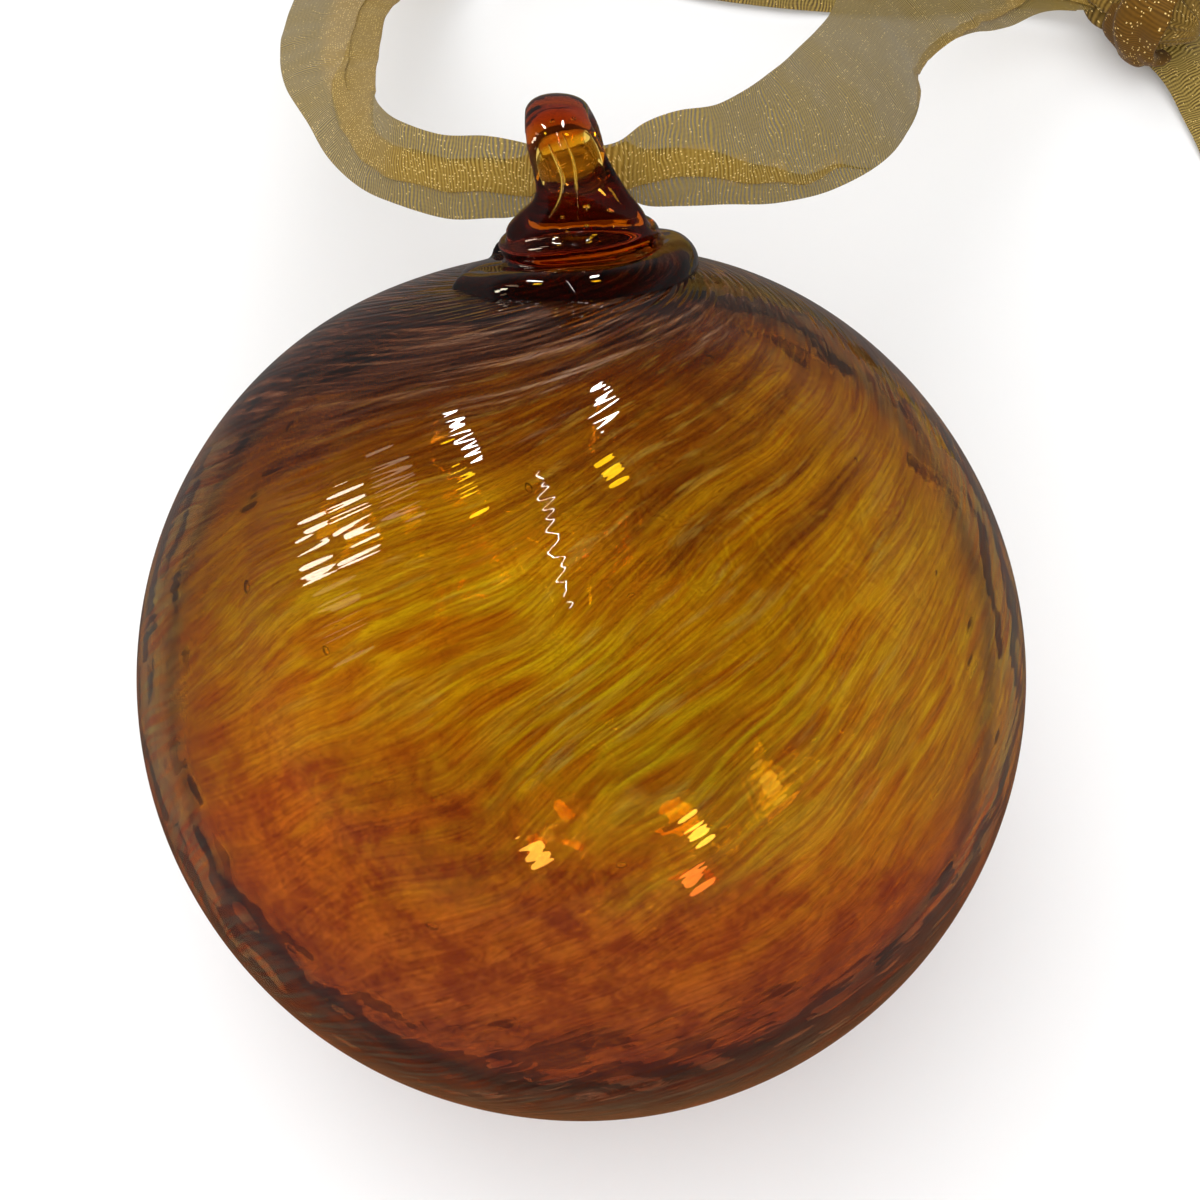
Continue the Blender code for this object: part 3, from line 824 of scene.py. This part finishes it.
def fold_section(width, place, share):
    """Return (across, height, flat, folded) along the ribbon folded to a width, in mm."""
    overlap = min(max(0.0, (RIBBON_WIDTH - width) / 2), width * 0.8)
    pleat_low = place * (width - overlap)
    flap_end = max(0.0, width - 2 * overlap)
    first = width + (pleat_low + overlap - width) * max(0.0, 2 * share - 1)
    second = flap_end + (pleat_low - flap_end) * share
    last = flap_end + (width - flap_end) * min(1.0, 2 * share)
    gap = LAYER_GAP * min(1.0, overlap / 1.2)
    bends = [(gap / 2 * cos(radians(k)), gap / 2 * sin(radians(k))) for k in (-60, -20, 20, 60)]
    points = [(first * step / 8, -gap) for step in range(9)]
    points += [(first + out, up - gap / 2) for out, up in bends]
    points += [(first + (second - first) * step / 6, 0.0) for step in range(7)]
    points += [(second - out, up + gap / 2) for out, up in bends]
    points += [(second + (last - second) * step / 8, gap) for step in range(9)]
    flat, section = 0.0, []
    for index, (across, height) in enumerate(points):
        if index:
            before = points[index - 1]
            flat += sqrt((across - before[0]) ** 2 + (height - before[1]) ** 2)
        low = second if share > 0.5 else 0.45 * width
        folded = overlap > 0.4 and low - 0.1 < across < first + 0.1
        section.append((across, height, flat, float(folded)))
    return section


def ribbon_band(name, edges, steps, folded, ruffle, skew=0.0):
    """Return a sheet of ribbon between two edge lines, with UVs in ribbon widths."""
    rows = smooth_stations([(*first, *second) for first, second in edges], steps)
    firsts = [Vector(row[:3]) for row in rows]
    seconds = [Vector(row[3:]) for row in rows]
    middles = [(first + second) / 2 for first, second in zip(firsts, seconds)]
    shape = bmesh.new()
    uv = shape.loops.layers.uv.new("weave")
    doubled = shape.verts.layers.float.new("folded")
    laid, flats, run = [], [], 0.0
    for index, (first, second) in enumerate(zip(firsts, seconds)):
        station = index / steps
        if index:
            run += (middles[index] - middles[index - 1]).length
        ahead = middles[min(index + 1, len(rows) - 1)] - middles[max(index - 1, 0)]
        width = (first - second).length
        inward = (first - second) / width
        front = (second - first).cross(ahead).normalized()
        place, share, crown = 0.5, 1.0, 0.0
        if folded:
            # the pleat wanders a little
            wobble = 0.1 * noise.noise(Vector((run / 7.0, 0.0, 5.0)))
            place = min(1.0, max(0.0, np.interp(station, PLEAT_STATIONS, PLEAT_PLACE) + wobble))
            share = np.interp(station, PLEAT_STATIONS, PLEAT_SHARE)
            crown = np.interp(station, PLEAT_STATIONS, CROWN)
        section = fold_section(width if folded else RIBBON_WIDTH, place, share)
        squeeze = 1.0 if folded else width / RIBBON_WIDTH
        # narrow places are drawn taut, and don't ruffle
        free = min(1.0, max(0.0, (width - 8.5) / 4.0))
        ring, ring_flats = [], []
        for across, height, flat, layers in section:
            across *= squeeze
            part = across / width
            sway = ruffle * free * noise.noise(Vector((across / 6.0, run / 8.0, 2.0)))
            lift = height + sway + crown * 4 * part * (1 - part)
            # a tail's last stretch is cut at a slant
            slide = skew * (flat / RIBBON_WIDTH - 0.5) * max(0.0, station - len(edges) + 2)
            point = second + inward * across + front * lift + ahead.normalized() * slide
            ring.append(shape.verts.new(point * MM))
            ring[-1][doubled] = layers if folded else 0.0
            ring_flats.append((flat / RIBBON_WIDTH, (run + slide) / RIBBON_WIDTH))
        laid.append(ring)
        flats.append(ring_flats)
    for row in range(len(laid) - 1):
        for k in range(len(laid[row]) - 1):
            corners = ((row, k), (row, k + 1), (row + 1, k + 1), (row + 1, k))
            face = shape.faces.new([laid[r][c] for r, c in corners])
            for loop, (r, c) in zip(face.loops, corners):
                loop[uv].uv = flats[r][c]
    bmesh.ops.remove_doubles(shape, verts=shape.verts, dist=0.004 * MM)
    mesh = bpy.data.meshes.new(name)
    shape.to_mesh(mesh)
    shape.free()
    return new_piece(name, mesh)


ribbon = ribbon_band("organza_loop", LOOP_EDGES, 12, True, 0.5)
front_tail = ribbon_band("front_tail", FRONT_TAIL_EDGES, 12, False, 1.0, 5.0)
side_tail = ribbon_band("side_tail", SIDE_TAIL_EDGES, 12, False, 1.2, -4.0)

# the knot: a gathered bundle of ribbon with one pleated turn round it
KNOT_FRAME = Matrix.Translation((81.4, 129.8, 9.7)) @ Matrix.Rotation(radians(-42), 4, "Z")
TURN_OFFSET = Vector((4.0, 0.0, 0.0))  # from the bundle's middle, along it
CRUMPLE = 0.8  # in millimetres, as tied by hand


def gathered_skin(name, radii, folds, depth, layers, ring_radius=0.0):
    """Return ribbon gathered into a bundle, or a turn round one, with layers up to 1."""
    bpy.ops.object.select_all(action="DESELECT")
    if ring_radius:
        bpy.ops.mesh.primitive_torus_add(
            major_radius=ring_radius, minor_radius=radii[0], major_segments=120,
            minor_segments=40, rotation=(0.0, pi / 2, 0.0), generate_uvs=True,
        )
    else:
        bpy.ops.mesh.primitive_uv_sphere_add(
            segments=160, ring_count=48, radius=1.0, rotation=(0.0, pi / 2, 0.0),
            calc_uvs=True,
        )
    skin = bpy.context.active_object
    skin.name = name
    bpy.ops.object.transform_apply(location=False, rotation=True, scale=False)
    skin.data.uv_layers[0].name = "weave"
    gathers = skin.data.attributes.new("gathers", "FLOAT", "POINT")
    gathers.data.foreach_set("value", [layers] * len(skin.data.vertices))
    for corner in skin.data.uv_layers["weave"].data:
        # in ribbon widths, so that the ribs keep their size
        if ring_radius:
            corner.uv = (corner.uv[1], corner.uv[0] * 2.8)
        else:
            corner.uv = (corner.uv[0] * 2.8, corner.uv[1] * 1.4)
    for vertex in skin.data.vertices:
        place = vertex.co.copy()
        turn = np.arctan2(place.z, place.y)
        if ring_radius:
            middle = Vector((0.0, cos(turn), sin(turn))) * ring_radius
            out = place - middle
            around = np.arctan2(out.x, out.dot(middle.normalized()))
            pleat = cos(folds * around + 1.5 * sin(turn) + 0.6)
            out *= 1.0 + depth * (pleat - 0.6)
            place = middle + out
            place.x *= radii[1]
        else:
            taper = 1.0 - 0.35 * abs(place.x) ** 3
            pleat = cos(folds * turn + 4.0 * place.x) + 0.6 * cos((folds + 4) * turn - 2.0)
            sides = place.y * place.y + place.z * place.z
            inset = 1.0 + depth * (pleat - 0.8) * min(1.0, 3 * sides)
            place = Vector((
                place.x * radii[0], place.y * radii[1] * inset * taper,
                place.z * radii[2] * inset * taper,
            ))
        place += CRUMPLE * noise.noise_vector(place * 0.24)
        vertex.co = (KNOT_FRAME @ place) * MM
    return skin


bundle = gathered_skin("knot_bundle", (11.5, 7.2, 7.4), 9, 0.09, 0.5)
turn_over = gathered_skin("knot_turn", (2.2, 2.0), 4, 0.16, 0.9, 7.0)
turn_over.data.transform(Matrix.Translation((KNOT_FRAME.to_3x3() @ TURN_OFFSET) * MM))
select_only(ribbon)
for tied in (front_tail, side_tail, bundle, turn_over):
    tied.select_set(True)
bpy.ops.object.join()
ribbon.name = "organza_ribbon_cloth"
ribbon.data.shade_smooth()

# Organza, a sheer plain weave of fine gold-brown nylon with metallic threads: see-through
# enough to show what lies behind, ribbed across, with tiny painted glints where the metal shows.
tree, cloth = dress(
    ribbon,
    "woven_gold_organza",
    {
        "Roughness": 0.5, "Specular IOR Level": 0.3, "Specular Tint": srgb("#ffedbc"),
        "Sheen Weight": 0.1, "Sheen Roughness": 0.4,
    },
)
place = add_node(tree, "ShaderNodeUVMap", uv_map="weave")
spread = add_node(tree, "ShaderNodeSeparateXYZ", {0: place})
# the threads bend over about 7 mm, and lie denser in patches of about 3 mm
bend = add_node(
    tree,
    "ShaderNodeTexNoise",
    {"Vector": place, "Scale": 2.5, "Detail": 2.0, "Roughness": 0.5},
    noise_dimensions="2D",
)
patch = add_node(
    tree,
    "ShaderNodeTexNoise",
    {"Vector": place, "Scale": 5.0, "Detail": 3.0, "Roughness": 0.6},
    noise_dimensions="2D",
)
# Threads every 0.5 mm both ways, coarser than the real ones so that they show, and not
# quite straight.
THREADS = RIBBON_WIDTH / 0.5 * 2 * pi
waves = []
for line, waviness in ((spread.outputs[1], 0.14), (spread.outputs[0], 0.1)):
    bent = add_node(
        tree, "ShaderNodeMath", {0: bend, 1: waviness, 2: line}, operation="MULTIPLY_ADD"
    )
    phase = add_node(tree, "ShaderNodeMath", {0: bent, 1: THREADS}, operation="MULTIPLY")
    waves.append(add_node(tree, "ShaderNodeMath", {0: phase}, operation="SINE"))
rib, warp = waves
rib_share = add_node(
    tree,
    "ShaderNodeMapRange",
    {"Value": patch, "From Min": 0.35, "From Max": 0.65, "To Min": 0.16, "To Max": 0.5},
)
weft = add_node(tree, "ShaderNodeMath", {0: rib, 1: rib_share}, operation="MULTIPLY")
cover = add_node(tree, "ShaderNodeMath", {0: warp, 1: 0.05, 2: weft}, operation="MULTIPLY_ADD")
# in the knot many layers lie on each other, so the ribs show less there
gathered = add_node(tree, "ShaderNodeAttribute", attribute_name="gathers").outputs["Fac"]
calm = add_node(tree, "ShaderNodeMapRange", {"Value": gathered, "To Min": 1.0, "To Max": 0.3})
cover = add_node(tree, "ShaderNodeMath", {0: cover, 1: calm}, operation="MULTIPLY")
opaque = add_node(tree, "ShaderNodeMath", {0: cover, 1: 0.2, 2: 0.95}, operation="MULTIPLY_ADD")
closed = add_node(
    tree, "ShaderNodeMath", {0: opaque, 1: gathered}, operation="ADD", use_clamp=True
)
tree.links.new(closed.outputs[0], cloth.inputs["Alpha"])

# metallic gold threads glitter where they come to the top, on a grid of 0.3 mm by
# 0.4 mm, and most where the ribbon lies double: a painted glint of pale gold with a little real
# metal shine
folded = add_node(tree, "ShaderNodeAttribute", attribute_name="folded").outputs["Fac"]
glint_grid = add_node(
    tree, "ShaderNodeVectorMath", {0: place, 1: (52.0, 40.0, 1.0)}, operation="MULTIPLY"
)
glint = add_node(
    tree,
    "ShaderNodeTexVoronoi",
    {"Vector": glint_grid, "Scale": 1.0},
    feature="F1",
    voronoi_dimensions="2D",
)
near = add_node(tree, "ShaderNodeMath", {0: glint, 1: 0.24}, operation="LESS_THAN")
pick = add_node(tree, "ShaderNodeSeparateColor", {0: glint.outputs["Color"]})
common = add_node(
    tree,
    "ShaderNodeMapRange",
    {"Value": patch, "From Min": 0.35, "From Max": 0.7, "To Min": 0.98, "To Max": 0.84},
)
for layers, more in ((folded, -0.25), (gathered, -0.12)):
    common = add_node(
        tree, "ShaderNodeMath", {0: layers, 1: more, 2: common}, operation="MULTIPLY_ADD"
    )
rare = add_node(tree, "ShaderNodeMath", {0: pick, 1: common}, operation="GREATER_THAN")
metal_thread_and_painted_glint = add_node(tree, "ShaderNodeMath", {0: near, 1: rare}, operation="MULTIPLY")
metal = add_node(tree, "ShaderNodeMath", {0: metal_thread_and_painted_glint, 1: 0.25}, operation="MULTIPLY")
tree.links.new(metal.outputs[0], cloth.inputs["Metallic"])

# The colour, from the gaps up: lit threads, a warmer gold where the ribbon lies double,
# brown where the knot gathers it, and the sparks on top, painted glints of the metal threads.
tone = add_node(
    tree, "ShaderNodeMapRange", {"Value": cover, "From Min": -0.35, "From Max": 0.35}
)
warmed = add_node(tree, "ShaderNodeMath", {0: folded, 1: 0.4}, operation="MULTIPLY")
colour = srgb("#4e3a12")
for amount, laid, way in (
    (tone, "#a48c48", "MIX"),
    (warmed, "#b08830", "MIX"),
    (gathered, "#b88e3c", "MULTIPLY"),
    (metal_thread_and_painted_glint, "#f2d488", "MIX"),
):
    colour = add_node(
        tree,
        "ShaderNodeMix",
        {0: amount, 6: colour, 7: srgb(laid)},
        data_type="RGBA",
        blend_type=way,
    ).outputs[2]
tree.links.new(colour, cloth.inputs["Base Color"])
relief = add_node(
    tree, "ShaderNodeBump", {"Height": cover, "Strength": 0.5, "Distance": 0.1 * MM}
)
tree.links.new(relief.outputs[0], cloth.inputs["Normal"])
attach(ribbon, "root")
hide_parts("organza_ribbon")

# --- The table and the light --------------------------------------------------------
# A table of matt white card in a dim room, lit softly from above.

bpy.ops.object.select_all(action="DESELECT")
bpy.ops.mesh.primitive_plane_add(size=6.0, location=(0.0, 0.0, -0.0002))
table = bpy.context.active_object
table.name = "white_table"
dress(table, "white_card", {"Base Color": srgb("#f2f2f2"), "Roughness": 0.9})
table.visible_glossy = False

world = bpy.data.worlds.new("studio")
world.use_nodes = True
tree = world.node_tree
sky = add_node(tree, "ShaderNodeTexCoord").outputs["Generated"]
up = add_node(tree, "ShaderNodeSeparateXYZ", {0: sky}).outputs[2]
level = add_node(tree, "ShaderNodeMapRange", {"Value": up, "From Min": -1.0, "From Max": 1.0})
wall = add_node(tree, "ShaderNodeValToRGB", {0: level})
set_ramp(wall, {
    0.0: (0.18, 0.08, 0.03), 0.05: (0.1, 0.06, 0.04), 0.12: (0.14, 0.135, 0.13),
    0.46: (0.15, 0.145, 0.14), 0.52: (0.2, 0.2, 0.2), 0.64: (0.1, 0.1, 0.1),
    0.85: (0.03, 0.03, 0.03),
})
tree.links.new(wall.outputs[0], tree.nodes["Background"].inputs["Color"])
tree.nodes["Background"].inputs["Strength"].default_value = 1.0
bpy.context.scene.world = world


def add_lamp(name, aim_at, distance, size, power, along=(0.0, 0.0, 1.0)):
    """Add an area light in a direction from the ball's middle, facing it."""
    away = Vector(aim_at).normalized()
    side = Vector(along).cross(away).normalized()
    bpy.ops.object.light_add(type="AREA")
    lamp = bpy.context.active_object
    lamp.name = name
    lamp.location = Vector((0.0, 0.0, CENTRE_HEIGHT)) + away * distance
    lamp.rotation_euler = Matrix((side, away.cross(side), away)).transposed().to_euler()
    lamp.data.shape = "RECTANGLE"
    lamp.data.size, lamp.data.size_y = size
    lamp.data.energy = power
    return lamp


# The room's lamps and window only show as reflections in the glass; the four soft lights
# further down do the lighting, and are kept out of the glass by flags.
REFLECTED_AT = 1.2
for name, aim_at, size, power, colour in (
    ("ceiling_strip_left", (-0.392, 0.634, 0.665), (0.045, 0.3), 2.6, "#ffffff"),
    ("ceiling_strip_right", (0.0675, 0.718, 0.692), (0.055, 0.3), 3.0, "#ffffff"),
    ("window_pane_high", (-0.64, 0.463, 0.614), (0.1, 0.28), 0.25, "#ffe0c0"),
    ("window_pane_middle", (-0.781, 0.333, 0.528), (0.14, 0.24), 1.8, "#fff0d8"),
    ("window_pane_left", (-0.876, 0.277, 0.393), (0.16, 0.2), 1.6, "#fff0d8"),
    ("window_pane_low", (-0.856, 0.003, 0.516), (0.11, 0.26), 0.14, "#ffe0b0"),
    ("warm_bulb_far_left", (-0.411, 0.436, 0.801), (0.08, 0.12), 0.6, "#ffd020"),
    ("warm_bulb_far_right", (0.123, 0.447, 0.885), (0.1, 0.12), 0.7, "#ffc818"),
    ("warm_bulb_left", (-0.174, -0.915, 0.357), (0.14, 0.09), 0.8, "#ffb040"),
    ("warm_bulb_middle", (0.448, -0.817, 0.359), (0.11, 0.09), 0.8, "#ffc040"),
    ("warm_bulb_low", (0.427, -0.89, 0.16), (0.14, 0.09), 0.6, "#ff8030"),
    ("warm_bulb_right", (0.7, -0.61, 0.36), (0.09, 0.15), 0.2, "#ffc030"),
):
    lamp = add_lamp(name, aim_at, REFLECTED_AT, size, power)
    lamp.data.shape = "ELLIPSE"
    lamp.data.color = srgb(colour)[:3]
    lamp.visible_diffuse = False
ceiling_tube = add_lamp(
    "ceiling_tube", (-0.1, 0.17, 0.98), REFLECTED_AT, (0.005, 0.75), 0.5, (-0.117, 0.721, -0.143)
)
ceiling_tube.visible_diffuse = False
OVERHEAD = (-0.15, -0.3, 0.94)
softbox = add_lamp("overhead_softbox", OVERHEAD, 1.7, (2.8, 2.8), 39.0)
# a very soft sun keeps the table pale far from the object too
room_light = add_lamp("room_light", OVERHEAD, 1.7, (1.0, 1.0), 1.0)
room_light.data.type = "SUN"
room_light.data.energy = 1.1
room_light.data.angle = radians(110)
front_fill = add_lamp("low_front_fill", (0.1, -0.93, 0.36), 1.4, (1.4, 0.5), 9.0)
back_fill = add_lamp("back_fill", (-0.2, 0.75, 0.65), 1.6, (2.0, 1.0), 11.0)
for soft in (softbox, room_light, front_fill, back_fill):
    soft.visible_glossy = False

# --- The camera ---------------------------------------------------------------------
# An 85 mm lens above the near side of the table, looking down 27 degrees off plumb.

bpy.ops.object.camera_add(location=(0.0021, -0.1369, 0.3429), rotation=(radians(26.56), 0.0, 0.0))
camera = bpy.context.active_object
camera.data.lens = 85
camera.data.sensor_width = 36
camera.data.clip_start = 0.01
bpy.context.scene.camera = camera
bpy.context.scene.view_settings.view_transform = "Standard"
